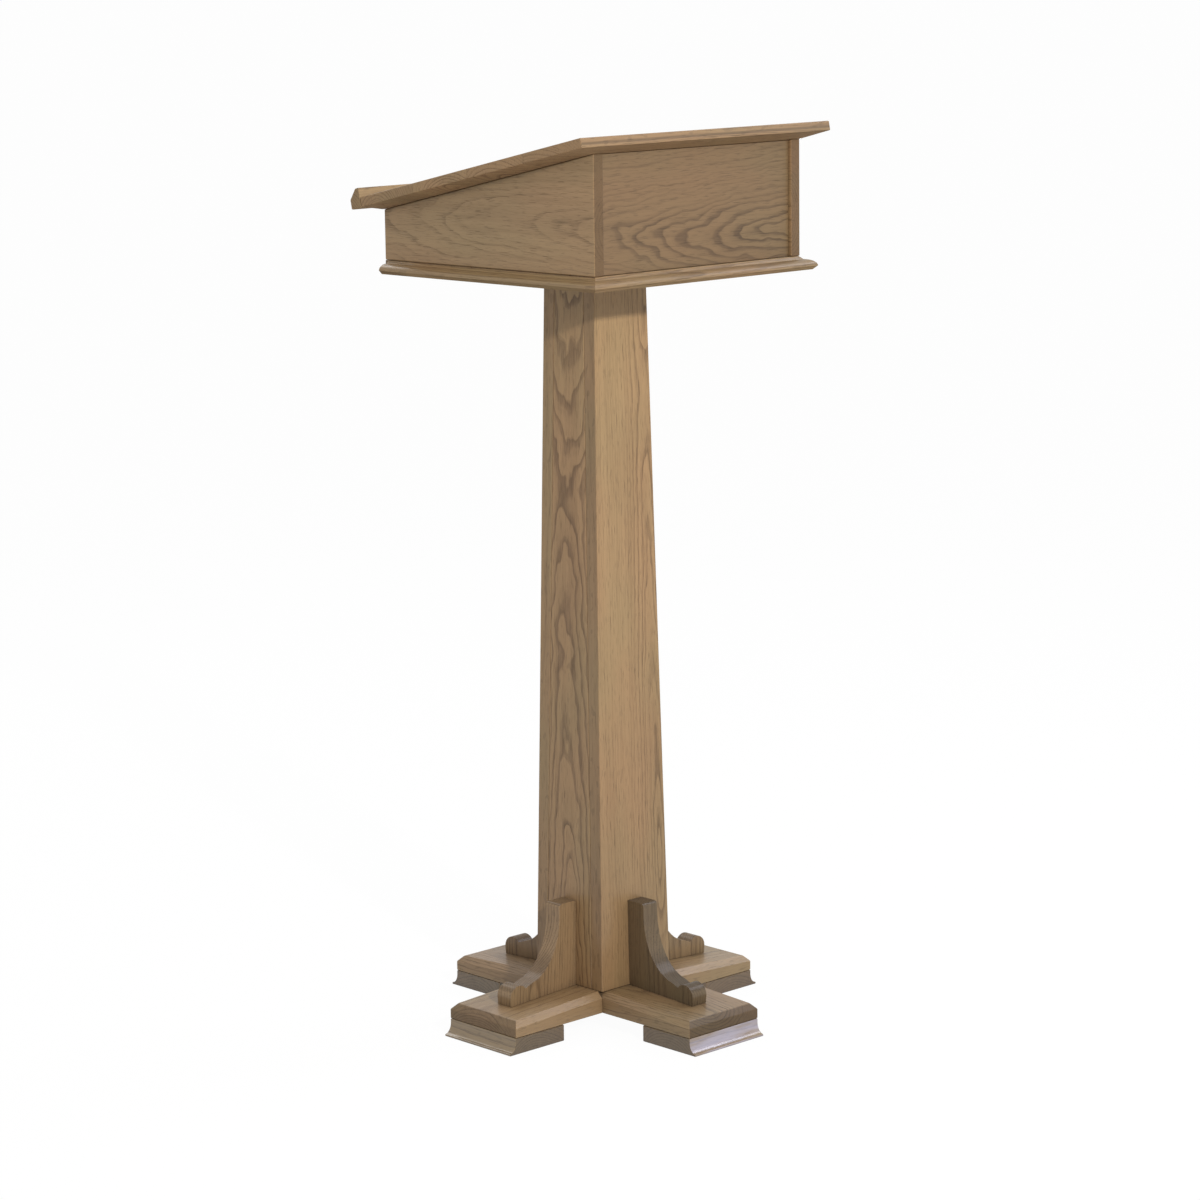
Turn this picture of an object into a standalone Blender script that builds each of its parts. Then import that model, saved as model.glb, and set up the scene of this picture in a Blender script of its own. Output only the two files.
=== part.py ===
"""Oak lectern: a sloping desk with an open book shelf, on a tapered hollow post and a cross foot.

The floor is Z = 0 under the post's axis. The tall front of the desk faces -Y and the reader
stands at +Y.
"""

import math

import bmesh
import bpy
from mathutils import Matrix, Vector

# Driving sizes, in metres
FIT_GAP = 0.0003  # left at every glued or screwed face
CUT_PAST = 0.004  # how far a cutter runs past the wood

PAD_HEIGHT = 0.0222
PAD_LENGTH = 0.087
PAD_FLARE = 0.0105
PAD_TOE_HEIGHT = 0.003
PAD_NECK_HEIGHT = 0.005

ARM_WIDTH = 0.129
ARM_THICKNESS = 0.0285
ARM_TIP_THICKNESS = 0.0205
ARM_SIDE_REACH = 0.222
ARM_FRONT_REACH = 0.228
ARM_CHAMFER = 0.008

POST_LENGTH = 0.9552
POST_FOOT_WIDTH = 0.128
POST_HEAD_WIDTH = 0.0948
POST_BOARD = 0.020
FOOT_BLOCK_LENGTH = 0.090
HEAD_BLOCK_LENGTH = 0.110

BRACKET_THICKNESS = 0.026
BRACKET_HEIGHT = 0.117
BRACKET_TOP_DEPTH = 0.030
BRACKET_TOP_ROUND = 0.005
BRACKET_STEM = 0.0157
BRACKET_SWEEP_RUN = 0.060
BRACKET_SWEEP_DROP = 0.0825
BRACKET_LOBE_RADIUS = 0.0155
BRACKET_LOBE_DROP = 0.0135
BRACKET_HEEL = 0.001

DESK_WIDTH = 0.372
DESK_DEPTH = 0.399
DESK_FRONT_REACH = 0.194
DESK_FLOOR_THICKNESS = 0.0175
SIDE_THICKNESS = 0.016
SIDE_FRONT_HEIGHT = 0.1523
SIDE_BACK_HEIGHT = 0.0663
FRONT_THICKNESS = 0.015
FRONT_RECESS = 0.005

MOULDING_PROJECTION = 0.0165
MOULDING_TOP_DROP = 0.001
MOULDING_CANT = 0.003
MOULDING_ROUND_RISE = 0.0085
MOULDING_UNDERCUT = 0.005
MOULDING_END_SETBACK = 0.006

SLOPE_THICKNESS = 0.018
SLOPE_EDGE = 0.0125
SLOPE_SIDE_OVERHANG = 0.0385
SLOPE_FRONT_OVERHANG = 0.021
SLOPE_FIELD_MARGIN = 0.003

STOP_DEPTH = 0.020
STOP_RISE = 0.013
STOP_DROP = 0.013
STOP_BEVEL = 0.013

GLUE_BLOCK_LEG = 0.018
GLUE_BLOCK_LENGTH = 0.060
GLUE_BLOCK_INSET = 0.070

SCREW_SIDES = 12
SCREW_HEAD_RADIUS = 0.0045
SCREW_SHANK_RADIUS = 0.0024
SCREW_HEAD_HEIGHT = 0.0030
SCREW_POINT = 0.005
DESK_SCREW_LENGTH = 0.050
DESK_SCREW_SPREAD = 0.013
BASE_SCREW_LENGTH = 0.070
BASE_SCREW_SPREAD = 0.026
PAD_SCREW_LENGTH = 0.032
PAD_SCREW_SPREAD = 0.036
PAD_SCREW_SINK = 0.002

EDGE_ROUND = 0.0012
POST_EDGE_ROUND = 0.0006

# Heights and slopes that follow from them
ARM_UNDER_Z = PAD_HEIGHT + FIT_GAP
ARM_TOP_Z = ARM_UNDER_Z + ARM_THICKNESS
POST_FOOT_Z = ARM_TOP_Z + FIT_GAP
POST_HEAD_Z = POST_FOOT_Z + POST_LENGTH
DESK_UNDER_Z = POST_HEAD_Z + FIT_GAP
DESK_FLOOR_Z = DESK_UNDER_Z + DESK_FLOOR_THICKNESS
SIDE_FOOT_Z = DESK_FLOOR_Z + FIT_GAP
DESK_FRONT_Y = -DESK_FRONT_REACH
DESK_BACK_Y = DESK_FRONT_Y + DESK_DEPTH
DESK_HALF = DESK_WIDTH / 2
SLOPE_ANGLE = math.atan2(SIDE_FRONT_HEIGHT - SIDE_BACK_HEIGHT, DESK_DEPTH)
POST_LEAN = (POST_FOOT_WIDTH - POST_HEAD_WIDTH) / 2 / POST_LENGTH
ARM_SHOULDER = ARM_WIDTH / 2
QUARTER_TURNS = {"right": 0.0, "back": 0.5 * math.pi, "left": math.pi, "front": 1.5 * math.pi}


def post_half(z):
    """Half the post's width at a height: all four faces lean in alike."""
    return POST_FOOT_WIDTH / 2 - POST_LEAN * (z - POST_FOOT_Z)


def arm_reach(side):
    return ARM_SIDE_REACH if side in ("left", "right") else ARM_FRONT_REACH


def arm_top(r, reach):
    """Height of an arm's top at a distance from the axis: flat under the post, then falling to the tip."""
    share = max(0.0, r - ARM_SHOULDER) / (reach - ARM_SHOULDER)
    return ARM_TOP_Z - (ARM_THICKNESS - ARM_TIP_THICKNESS) * share


def side_top(y):
    """Height of a side panel's sloping top edge."""
    return SIDE_FOOT_Z + SIDE_FRONT_HEIGHT - math.tan(SLOPE_ANGLE) * (y - DESK_FRONT_Y)


# Clear the scene and set up the collections
for old in list(bpy.data.objects):
    bpy.data.objects.remove(old, do_unlink=True)

parts = bpy.data.collections.new("lectern")
cutters = bpy.data.collections.new("lectern_cutters")
bpy.context.scene.collection.children.link(parts)
bpy.context.scene.collection.children.link(cutters)


def empty(name, parent=None, location=(0, 0, 0), rotation=(0, 0, 0)):
    made = bpy.data.objects.new(name, None)
    made.empty_display_size = 0.05
    made.location = location
    made.rotation_euler = rotation
    made.parent = parent
    parts.objects.link(made)
    return made


lectern = empty("lectern")
foot = empty("cross_foot", lectern)
post = empty("post", lectern, (0, 0, POST_FOOT_Z))
desk = empty("desk", lectern, (0, DESK_FRONT_Y, SIDE_FOOT_Z))
slope = empty("slope", desk, (0, 0, SIDE_FRONT_HEIGHT), (-SLOPE_ANGLE, 0, 0))


def principled(name, colour, roughness, metallic=0.0):
    made = bpy.data.materials.new(name)
    made.use_nodes = True
    shader = made.node_tree.nodes["Principled BSDF"]
    shader.inputs["Base Color"].default_value = (*colour, 1.0)
    shader.inputs["Roughness"].default_value = roughness
    shader.inputs["Metallic"].default_value = metallic
    made.diffuse_color = (*colour, 1.0)
    return made


OAK = (0.205, 0.132, 0.070)
OAK_DARK = (0.150, 0.098, 0.055)
OAK_RAW = (0.330, 0.225, 0.125)
STEEL = (0.300, 0.290, 0.280)


def add_part(name, mesh, parent, colour=OAK, roughness=0.42, metallic=0.0):
    made = bpy.data.objects.new(name, mesh)
    made.data.materials.append(principled(name + "_finish", colour, roughness, metallic))
    made.parent = parent
    parts.objects.link(made)
    return made


cuts = {}


def add_cutter(part, name, mesh, location=(0, 0, 0), rotation=(0, 0, 0)):
    """A shape to take out of a part. Each cut part keeps its cutters in a collection of its own."""
    if part.name not in cuts:
        cuts[part.name] = bpy.data.collections.new(part.name + "_cuts")
        cutters.children.link(cuts[part.name])
    made = bpy.data.objects.new(f"{part.name}_{name}", mesh)
    made.hide_render = True
    made.display_type = "WIRE"
    cuts[part.name].objects.link(made)
    place(made, location, rotation)
    return made


def place(made, location, rotation=(0, 0, 0)):
    made.location = location
    made.rotation_euler = rotation


def turn_profile(made):
    """Turn a profile about its local Z."""
    screw = made.modifiers.new("turn", "SCREW")
    screw.steps = SCREW_SIDES
    screw.render_steps = SCREW_SIDES
    screw.use_merge_vertices = True
    screw.merge_threshold = 0.00001
    screw.use_smooth_shade = True


def round_edges(part, width, segments=2):
    bevel = part.modifiers.new("arris", "BEVEL")
    bevel.width = width
    bevel.segments = segments
    bevel.limit_method = "ANGLE"
    bevel.angle_limit = math.radians(35)
    bevel.use_clamp_overlap = True


def mesh_from(bm, name):
    bmesh.ops.recalc_face_normals(bm, faces=bm.faces)
    mesh = bpy.data.meshes.new(name)
    bm.to_mesh(mesh)
    bm.free()
    return mesh


def box(name, low, high):
    return lofted_box(name, low[:2], high[:2], low[:2], high[:2], low[2], high[2])


def lofted_box(name, foot_low, foot_high, head_low, head_high, foot_z, head_z):
    """A box whose top rectangle may differ from its bottom one."""
    bm = bmesh.new()
    bmesh.ops.create_cube(bm, size=2.0)
    for vert in bm.verts:
        low, high, z = (head_low, head_high, head_z) if vert.co.z > 0 else (foot_low, foot_high, foot_z)
        vert.co = (high[0] if vert.co.x > 0 else low[0], high[1] if vert.co.y > 0 else low[1], z)
    return mesh_from(bm, name)


def extruded(name, outline, thickness):
    """A flat outline in the local XY plane, as a closed mesh centred on that plane."""
    curve = bpy.data.curves.new(name, "CURVE")
    curve.dimensions = "2D"
    curve.fill_mode = "BOTH"
    curve.extrude = thickness / 2
    spline = curve.splines.new("POLY")
    spline.points.add(len(outline) - 1)
    for point, (x, y) in zip(spline.points, outline):
        point.co = (x, y, 0.0, 1.0)
    spline.use_cyclic_u = True
    guide = bpy.data.objects.new(name, curve)
    bpy.context.scene.collection.objects.link(guide)
    graph = bpy.context.evaluated_depsgraph_get()
    flat = bpy.data.meshes.new_from_object(guide.evaluated_get(graph))
    bpy.data.objects.remove(guide, do_unlink=True)
    bpy.data.curves.remove(curve)
    bm = bmesh.new()
    bm.from_mesh(flat)
    bpy.data.meshes.remove(flat)
    bmesh.ops.remove_doubles(bm, verts=bm.verts, dist=1e-6)
    bmesh.ops.dissolve_limit(bm, angle_limit=0.002, verts=bm.verts, edges=bm.edges)
    return mesh_from(bm, name)


def hull(name, points):
    bm = bmesh.new()
    for point in points:
        bm.verts.new(point)
    made = bmesh.ops.convex_hull(bm, input=bm.verts)
    spare = [v for v in made["geom_unused"] + made["geom_interior"] if isinstance(v, bmesh.types.BMVert)]
    bmesh.ops.delete(bm, geom=list(set(spare)), context="VERTS")
    return mesh_from(bm, name)


def arc(centre, radius_x, radius_y, start, end, steps):
    """Points along an ellipse between two angles in degrees."""
    made = []
    for i in range(steps + 1):
        angle = math.radians(start + (end - start) * i / steps)
        made.append((centre[0] + radius_x * math.cos(angle), centre[1] + radius_y * math.sin(angle)))
    return made


def profile_mesh(name, profile):
    """A row of (radius, height) points from the top down, to be turned about Z."""
    mesh = bpy.data.meshes.new(name)
    links = [(i, i + 1) for i in range(len(profile) - 1)]
    mesh.from_pydata([(r, 0.0, z) for r, z in profile], links, [])
    return mesh


def radial(turn):
    """The rotation that stands a (distance, height) outline up along one of the four sides."""
    return (Matrix.Rotation(turn, 4, "Z") @ Matrix.Rotation(math.pi / 2, 4, "X")).to_euler()


# Cross foot: two half-lapped arms, chamfered along every top edge and at the tips
LAP_Z = ARM_UNDER_Z + ARM_THICKNESS / 2
LAP_HALF = ARM_WIDTH / 2 + FIT_GAP


def arm_outline(reach):
    """An arm seen from its side, with the bevelled tips."""
    tip = ARM_UNDER_Z + ARM_TIP_THICKNESS
    right = [
        (reach, ARM_UNDER_Z),
        (reach, tip - ARM_CHAMFER),
        (reach - ARM_CHAMFER, arm_top(reach - ARM_CHAMFER, reach)),
        (ARM_SHOULDER, ARM_TOP_Z),
    ]
    return right + [(-r, z) for r, z in reversed(right)]


def chamfer_elbow(name, reaches):
    """What the chamfers take off one inner corner of the cross: along one arm, mitred, along the next.

    The first arm runs along +X and the second along +Y.
    """
    inside = ARM_WIDTH / 2 - ARM_CHAMFER - CUT_PAST
    outside = ARM_WIDTH / 2 + CUT_PAST
    section = ((inside, CUT_PAST), (outside, -ARM_CHAMFER - CUT_PAST), (outside, CUT_PAST))
    bm = bmesh.new()
    mitre = [bm.verts.new((across, across, ARM_TOP_Z + rise)) for across, rise in section]
    for along_x, reach in zip((True, False), reaches):
        end = reach + CUT_PAST
        tip = []
        for across, rise in section:
            spot = (end, across) if along_x else (across, end)
            tip.append(bm.verts.new((*spot, arm_top(end, reach) + rise)))
        for i in range(3):
            bm.faces.new((mitre[i], mitre[i - 1], tip[i - 1], tip[i]))
        bm.faces.new(tip)
    bmesh.ops.triangulate(bm, faces=bm.faces)
    return mesh_from(bm, name)


def add_arm(name, reach, turn, lap_low, lap_high):
    """One arm, chamfered, and notched where the other crosses it."""
    arm = add_part(name, extruded(name, arm_outline(reach), ARM_WIDTH), foot)
    place(arm, (0, 0, 0), radial(turn))
    round_edges(arm, EDGE_ROUND)
    sides = list(QUARTER_TURNS)
    for number, side in enumerate(sides):
        reaches = (arm_reach(side), arm_reach(sides[number - 3]))
        elbow = chamfer_elbow(f"chamfer_{side}", reaches)
        add_cutter(arm, f"chamfer_{side}", elbow, rotation=(0, 0, QUARTER_TURNS[side]))
    across = ARM_WIDTH / 2 + CUT_PAST
    notch = box("lap", (-LAP_HALF, -across, lap_low), (LAP_HALF, across, lap_high))
    add_cutter(arm, "lap", notch, rotation=(0, 0, turn))
    return arm


side_arm = add_arm("arm_side_to_side", ARM_SIDE_REACH, 0.0, LAP_Z - FIT_GAP / 2, ARM_TOP_Z + CUT_PAST)
front_arm = add_arm("arm_front_to_back", ARM_FRONT_REACH, math.pi / 2, ARM_UNDER_Z - CUT_PAST, LAP_Z + FIT_GAP / 2)


# Flared pads under the arm tips
def pad_outline(reach):
    """A pad seen from its side: a plain heel, and a hollow flare below the arm's tip."""
    hollow_foot = PAD_TOE_HEIGHT
    hollow_head = PAD_HEIGHT - PAD_NECK_HEIGHT
    flare = arc(
        (reach + PAD_FLARE, hollow_head), PAD_FLARE, hollow_head - hollow_foot, 180, 262, 9
    )
    return [
        (reach - PAD_LENGTH, 0.0),
        (reach + PAD_FLARE, 0.0),
        (reach + PAD_FLARE, hollow_foot),
        *reversed(flare),
        (reach, PAD_HEIGHT),
        (reach - PAD_LENGTH, PAD_HEIGHT),
    ]


pads = {}
for side, turn in QUARTER_TURNS.items():
    name = f"pad_{side}"
    pads[side] = add_part(name, extruded(name, pad_outline(arm_reach(side)), ARM_WIDTH), foot, OAK_DARK, 0.36)
    place(pads[side], (0, 0, 0), radial(turn))
    round_edges(pads[side], EDGE_ROUND)


# Shaped brackets between the post and the arms
def bracket_outline(reach):
    """A bracket seen from its side: square shoulder, hollow sweep, then a rounded lobe at the toe."""
    top = ARM_TOP_Z + BRACKET_HEIGHT
    shoulder = post_half(top) + FIT_GAP + BRACKET_TOP_DEPTH
    sweep_z = top - BRACKET_STEM
    sweep_r = shoulder + BRACKET_SWEEP_RUN
    dip_z = sweep_z - BRACKET_SWEEP_DROP
    lobe_r = sweep_r + BRACKET_LOBE_RADIUS
    lobe_z = dip_z - BRACKET_LOBE_DROP
    round_centre = (shoulder - BRACKET_TOP_ROUND, top - BRACKET_TOP_ROUND)
    outline = [(post_half(top) + FIT_GAP, top)]
    outline += arc(round_centre, BRACKET_TOP_ROUND, BRACKET_TOP_ROUND, 90, 0, 4)
    outline += arc((sweep_r, sweep_z), BRACKET_SWEEP_RUN, BRACKET_SWEEP_DROP, 180, 262, 12)
    outline += arc((lobe_r, lobe_z), BRACKET_LOBE_RADIUS, BRACKET_LOBE_RADIUS, 142, 0, 10)
    heel = lobe_r + BRACKET_LOBE_RADIUS - BRACKET_HEEL
    outline.append((heel, arm_top(heel, reach) + FIT_GAP))
    root = post_half(ARM_TOP_Z) + FIT_GAP
    if root < ARM_SHOULDER:
        outline.append((ARM_SHOULDER, ARM_TOP_Z + FIT_GAP))
    outline.append((root, arm_top(root, reach) + FIT_GAP))
    return outline


for side, turn in QUARTER_TURNS.items():
    name = f"bracket_{side}"
    bracket = add_part(name, extruded(name, bracket_outline(arm_reach(side)), BRACKET_THICKNESS), foot)
    place(bracket, (0, 0, 0), radial(turn))
    round_edges(bracket, EDGE_ROUND)


# Hollow tapered post: the front and back boards lap the edges of the side boards
def post_rectangle(z, low_x, high_x, low_y, high_y):
    """Corners of a board's section, each given as a share of the post's half width plus an offset."""
    half = post_half(z)
    place_x = [share * half + offset for share, offset in (low_x, high_x)]
    place_y = [share * half + offset for share, offset in (low_y, high_y)]
    return (place_x[0], place_y[0]), (place_x[1], place_y[1])


def post_piece(name, foot_z, head_z, sides):
    foot_low, foot_high = post_rectangle(foot_z, *sides)
    head_low, head_high = post_rectangle(head_z, *sides)
    drop = POST_FOOT_Z
    return lofted_box(name, foot_low, foot_high, head_low, head_high, foot_z - drop, head_z - drop)


INSIDE = POST_BOARD + FIT_GAP
post_boards = {
    "front": ((-1, 0), (1, 0), (-1, 0), (-1, POST_BOARD)),
    "back": ((-1, 0), (1, 0), (1, -POST_BOARD), (1, 0)),
    "left": ((-1, 0), (-1, POST_BOARD), (-1, INSIDE), (1, -INSIDE)),
    "right": ((1, -POST_BOARD), (1, 0), (-1, INSIDE), (1, -INSIDE)),
}
for side, limits in post_boards.items():
    name = f"post_board_{side}"
    board = add_part(name, post_piece(name, POST_FOOT_Z, POST_HEAD_Z, limits), post)
    round_edges(board, POST_EDGE_ROUND, 1)

inner = ((-1, INSIDE), (1, -INSIDE), (-1, INSIDE), (1, -INSIDE))
foot_mesh = post_piece("foot_block", POST_FOOT_Z, POST_FOOT_Z + FOOT_BLOCK_LENGTH, inner)
head_mesh = post_piece("head_block", POST_HEAD_Z - HEAD_BLOCK_LENGTH, POST_HEAD_Z, inner)
foot_block = add_part("foot_block", foot_mesh, post, OAK_RAW, 0.7)
head_block = add_part("head_block", head_mesh, post, OAK_RAW, 0.7)


# Desk floor, sides and front
floor_low = (-DESK_HALF, DESK_FRONT_Y, DESK_UNDER_Z)
floor_high = (DESK_HALF, DESK_BACK_Y, DESK_FLOOR_Z)
desk_floor = add_part("desk_floor", box("desk_floor", floor_low, floor_high), lectern)
round_edges(desk_floor, POST_EDGE_ROUND, 1)

SIDE_OUTLINE = [
    (0.0, 0.0),
    (DESK_DEPTH, 0.0),
    (DESK_DEPTH, SIDE_BACK_HEIGHT),
    (0.0, SIDE_FRONT_HEIGHT),
]
for side, sign in (("left", -1), ("right", 1)):
    name = f"desk_side_{side}"
    panel = add_part(name, extruded(name, SIDE_OUTLINE, SIDE_THICKNESS), desk)
    place(panel, (sign * (DESK_HALF - SIDE_THICKNESS / 2), 0, 0), (math.pi / 2, 0, math.pi / 2))
    round_edges(panel, EDGE_ROUND)

front_outline = [
    (FRONT_RECESS, 0.0),
    (FRONT_RECESS + FRONT_THICKNESS, 0.0),
    (FRONT_RECESS + FRONT_THICKNESS, side_top(DESK_FRONT_Y + FRONT_RECESS + FRONT_THICKNESS) - SIDE_FOOT_Z),
    (FRONT_RECESS, side_top(DESK_FRONT_Y + FRONT_RECESS) - SIDE_FOOT_Z),
]
front_width = DESK_WIDTH - 2 * (SIDE_THICKNESS + FIT_GAP)
desk_front = add_part("desk_front", extruded("desk_front", front_outline, front_width), desk)
place(desk_front, (0, 0, 0), (math.pi / 2, 0, math.pi / 2))
round_edges(desk_front, POST_EDGE_ROUND, 1)


# Planted moulding round three edges of the desk floor, mitred at the front corners
def moulding_outline():
    """The moulding's section as (projection, height) from the foot of the wall."""
    nose = MOULDING_PROJECTION
    top = DESK_FLOOR_THICKNESS - MOULDING_TOP_DROP
    centre = (MOULDING_CANT, MOULDING_UNDERCUT)
    ovolo = arc(centre, nose - MOULDING_CANT, MOULDING_ROUND_RISE, 90, 0, 8)
    return [
        (0.0, 0.0),
        (nose - MOULDING_UNDERCUT, 0.0),
        *reversed(ovolo),
        (0.0, top),
    ]


def moulding(name, length, mitres):
    """A length of moulding along local Z, its mitred ends running out with the projection."""
    mesh = extruded(name, moulding_outline(), length)
    for vert in mesh.vertices:
        if vert.co.z > 0 and mitres[1]:
            vert.co.z += vert.co.x
        if vert.co.z < 0 and mitres[0]:
            vert.co.z -= vert.co.x
    return mesh


MITRE_GAP = FIT_GAP
wall = DESK_HALF + FIT_GAP
front_wall = DESK_FRONT_Y - FIT_GAP
front_length = 2 * wall - 2 * MITRE_GAP
strip = add_part("moulding_front", moulding("moulding_front", front_length, (True, True)), lectern)
place(strip, (0, front_wall, DESK_UNDER_Z), (math.pi / 2, 0, -math.pi / 2))
side_length = DESK_BACK_Y - MOULDING_END_SETBACK - front_wall
side_middle = (DESK_BACK_Y - MOULDING_END_SETBACK + front_wall) / 2
for side, sign, mitres in (("left", -1, (True, False)), ("right", 1, (False, True))):
    name = f"moulding_{side}"
    strip = add_part(name, moulding(name, side_length, mitres), lectern)
    if side == "right":
        rotation = (math.pi / 2, 0, 0)
    else:
        rotation = (math.pi / 2, 0, math.pi)
    place(strip, (sign * wall, side_middle, DESK_UNDER_Z), rotation)


# Sloping board: flat field over the desk, thinned under its three overhanging edges
SLOPE_LENGTH = SLOPE_FRONT_OVERHANG + DESK_DEPTH / math.cos(SLOPE_ANGLE)
SLOPE_HALF = DESK_HALF + SLOPE_SIDE_OVERHANG


def slope_mesh():
    bm = bmesh.new()
    bmesh.ops.create_cube(bm, size=2.0)
    under = FIT_GAP + SLOPE_THICKNESS - SLOPE_EDGE
    for vert in bm.verts:
        y = SLOPE_LENGTH - SLOPE_FRONT_OVERHANG if vert.co.y > 0 else -SLOPE_FRONT_OVERHANG
        z = under + SLOPE_EDGE if vert.co.z > 0 else under
        vert.co = (math.copysign(SLOPE_HALF, vert.co.x), y, z)
    bottom = [face for face in bm.faces if all(v.co.z < under + SLOPE_EDGE / 2 for v in face.verts)]
    grown = bmesh.ops.extrude_face_region(bm, geom=bottom)
    bmesh.ops.delete(bm, geom=bottom, context="FACES_ONLY")
    for vert in grown["geom"]:
        if isinstance(vert, bmesh.types.BMVert):
            vert.co.x = math.copysign(DESK_HALF + SLOPE_FIELD_MARGIN, vert.co.x)
            vert.co.y = max(vert.co.y, -SLOPE_FIELD_MARGIN)
            vert.co.z = FIT_GAP
    return mesh_from(bm, "slope_board")


slope_board = add_part("slope_board", slope_mesh(), slope)
round_edges(slope_board, EDGE_ROUND)

stop_foot = FIT_GAP + SLOPE_THICKNESS - STOP_DROP
stop_head = FIT_GAP + SLOPE_THICKNESS + STOP_RISE
stop_near = SLOPE_LENGTH - SLOPE_FRONT_OVERHANG + FIT_GAP
stop_outline = [
    (stop_near, stop_foot),
    (stop_near + STOP_DEPTH, stop_foot),
    (stop_near + STOP_DEPTH, stop_head - STOP_BEVEL),
    (stop_near + STOP_DEPTH - STOP_BEVEL, stop_head),
    (stop_near, stop_head),
]
book_stop = add_part("book_stop", extruded("book_stop", stop_outline, 2 * SLOPE_HALF), slope)
place(book_stop, (0, 0, 0), (math.pi / 2, 0, math.pi / 2))
round_edges(book_stop, EDGE_ROUND)

# Glue blocks in the corners between the sloping board and the side panels
block_outline = [
    (-FIT_GAP, 0.0),
    (-GLUE_BLOCK_LEG, 0.0),
    (-FIT_GAP, -GLUE_BLOCK_LEG),
]
slope_run = DESK_DEPTH / math.cos(SLOPE_ANGLE)
block_spots = {"front": GLUE_BLOCK_INSET, "back": slope_run - GLUE_BLOCK_INSET}
for end, along in block_spots.items():
    for side, sign in (("left", -1), ("right", 1)):
        name = f"glue_block_{side}_{end}"
        points = [(sign * x, y) for x, y in block_outline]
        block = add_part(name, extruded(name, points, GLUE_BLOCK_LENGTH), slope, OAK_RAW, 0.7)
        place(block, (sign * (DESK_HALF - SIDE_THICKNESS), along, 0), (math.pi / 2, 0, 0))


# Screws: through the desk floor, up through the crossed arms, and up through the pads
def screw_profile(length, gap, past):
    """A countersunk screw, head up at Z = 0. A gap above zero gives the hole that it sits in."""
    head = SCREW_HEAD_RADIUS + gap
    shank = SCREW_SHANK_RADIUS + gap
    top = [(0.0, past), (head, past)] if past else [(0.0, 0.0)]
    return top + [
        (head, 0.0),
        (shank, -SCREW_HEAD_HEIGHT),
        (shank, SCREW_POINT - length - gap),
        (0.0, -length - 2 * gap),
    ]


def add_screw(name, length, spot, rotation, parent, through):
    """A screw in its clearance holes."""
    screw = add_part(name, profile_mesh(name, screw_profile(length, 0.0, 0.0)), parent, STEEL, 0.45, 1.0)
    place(screw, spot, rotation)
    turn_profile(screw)
    hole = profile_mesh(name + "_hole", screw_profile(length, FIT_GAP, CUT_PAST))
    for piece in through:
        turn_profile(add_cutter(piece, name + "_hole", hole, spot, rotation))


HEAD_UP = (0, 0, 0)
HEAD_DOWN = (math.pi, 0, 0)
for number, (sx, sy) in enumerate(((-1, -1), (1, -1), (1, 1), (-1, 1)), 1):
    spot = (sx * DESK_SCREW_SPREAD, sy * DESK_SCREW_SPREAD, DESK_FLOOR_Z)
    add_screw(f"desk_screw_{number}", DESK_SCREW_LENGTH, spot, HEAD_UP, lectern, (desk_floor, head_block))
    spot = (sx * BASE_SCREW_SPREAD, sy * BASE_SCREW_SPREAD, ARM_UNDER_Z)
    through = (side_arm, front_arm, foot_block)
    add_screw(f"base_screw_{number}", BASE_SCREW_LENGTH, spot, HEAD_DOWN, foot, through)

for side, turn in QUARTER_TURNS.items():
    arm = side_arm if side in ("left", "right") else front_arm
    for number, across in enumerate((-PAD_SCREW_SPREAD, PAD_SCREW_SPREAD), 1):
        spot = Vector((arm_reach(side) - PAD_LENGTH / 2, across, PAD_SCREW_SINK))
        spot.rotate(Matrix.Rotation(turn, 3, "Z"))
        add_screw(f"pad_screw_{side}_{number}", PAD_SCREW_LENGTH, spot, HEAD_DOWN, foot, (pads[side], arm))

# Take the cutters out of the parts that they belong to
for name, group in cuts.items():
    boolean = parts.objects[name].modifiers.new("cuts", "BOOLEAN")
    boolean.operation = "DIFFERENCE"
    boolean.solver = "EXACT"
    boolean.operand_type = "COLLECTION"
    boolean.collection = group
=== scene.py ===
"""Looks of the oak lectern: varnished boards, each with its own figure, on a white studio floor."""

import math

import bmesh
import bpy
from mathutils import Matrix, Vector


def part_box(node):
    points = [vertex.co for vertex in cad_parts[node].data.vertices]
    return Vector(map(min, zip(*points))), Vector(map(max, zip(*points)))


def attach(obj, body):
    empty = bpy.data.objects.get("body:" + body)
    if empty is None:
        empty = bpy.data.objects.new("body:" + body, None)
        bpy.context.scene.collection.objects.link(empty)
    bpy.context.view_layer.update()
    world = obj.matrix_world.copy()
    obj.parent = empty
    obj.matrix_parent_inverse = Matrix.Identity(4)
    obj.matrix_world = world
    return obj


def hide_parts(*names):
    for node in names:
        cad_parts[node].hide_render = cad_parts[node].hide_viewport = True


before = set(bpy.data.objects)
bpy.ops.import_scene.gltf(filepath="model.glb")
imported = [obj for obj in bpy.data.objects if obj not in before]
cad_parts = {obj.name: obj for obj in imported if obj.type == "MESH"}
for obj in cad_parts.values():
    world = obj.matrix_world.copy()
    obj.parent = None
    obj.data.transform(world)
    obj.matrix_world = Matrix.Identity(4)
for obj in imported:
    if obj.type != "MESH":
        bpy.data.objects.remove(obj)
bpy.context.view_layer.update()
scene = bpy.context.scene

X_AXIS = Vector((1, 0, 0))
Y_AXIS = Vector((0, 1, 0))
Z_AXIS = Vector((0, 0, 1))
OUT_WAYS = {"front": -Y_AXIS, "back": Y_AXIS, "left": -X_AXIS, "right": X_AXIS}

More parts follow.
